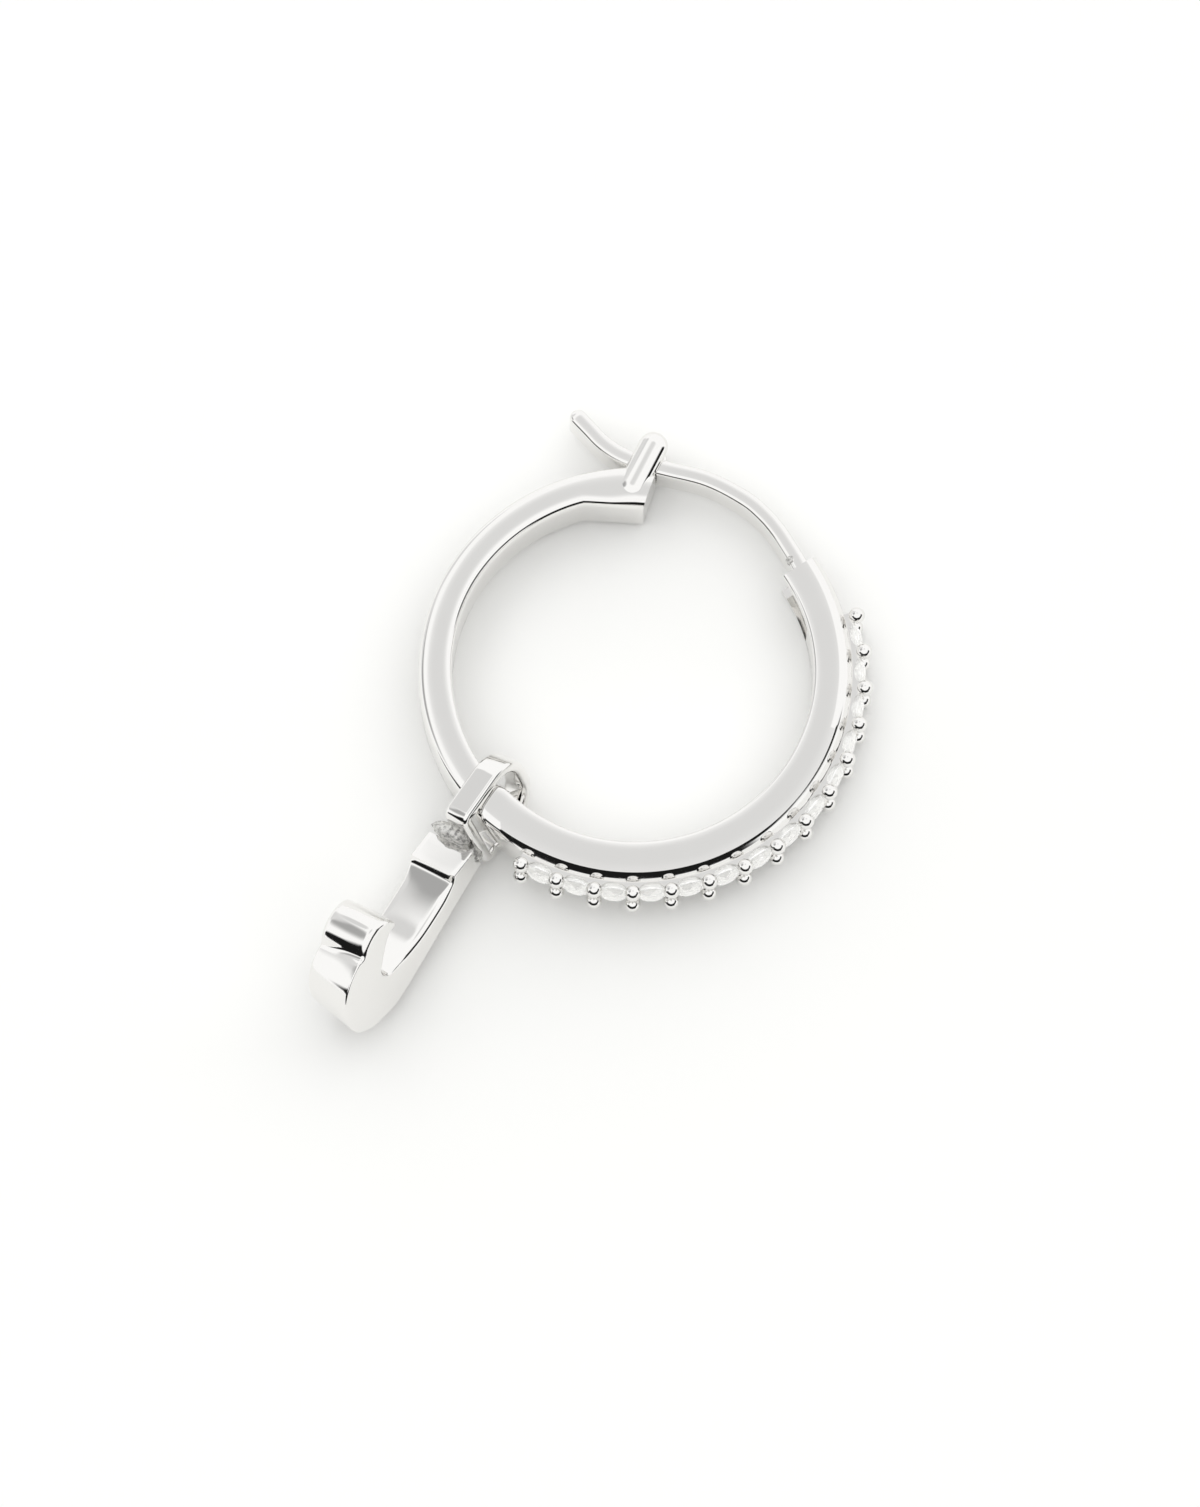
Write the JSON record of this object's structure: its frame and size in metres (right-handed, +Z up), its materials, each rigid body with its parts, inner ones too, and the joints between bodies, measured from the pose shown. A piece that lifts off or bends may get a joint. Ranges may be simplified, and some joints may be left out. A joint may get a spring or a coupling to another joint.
{
  "type": "hoop charm earring",
  "caption": "Small hinged hoop earring with a pavé-set front, a sprung latch wire held in a fork, and a curled hook charm hanging from a square bail.",
  "frame": {"origin": "on the surface the earring lies on, under the middle of its bounding box", "axes": "+Z up from the surface, +Y from the charm towards the fork catch, +X towards the hinge and the pavé stones"},
  "size_m": [0.0194, 0.0222, 0.0045],
  "materials": {
    "silver": "mirror polished",
    "clear_stone": "faceted"
  },
  "bodies": {
    "hoop": {"hoop_band": "silver", "hinge_pin": "silver", "stone_01": "clear_stone", "stone_02": "clear_stone", "stone_03": "clear_stone", "stone_04": "clear_stone", "stone_05": "clear_stone", "stone_06": "clear_stone", "stone_07": "clear_stone", "stone_08": "clear_stone", "stone_09": "clear_stone", "stone_10": "clear_stone", "stone_11": "clear_stone", "stone_12": "clear_stone", "stone_13": "clear_stone", "stone_14": "clear_stone", "hook_charm": "silver"},
    "latch": {"latch_wire": "silver"}
  },
  "joints": [
    {"name": "latch_hinge", "type": "hinge", "parent": "hoop", "child": "latch", "pos_m": [0.00753, 0.00471, 0.00098], "axis": [0.0378, 0.0347, 0.9987], "range_deg": [-60, 0]}
  ]
}
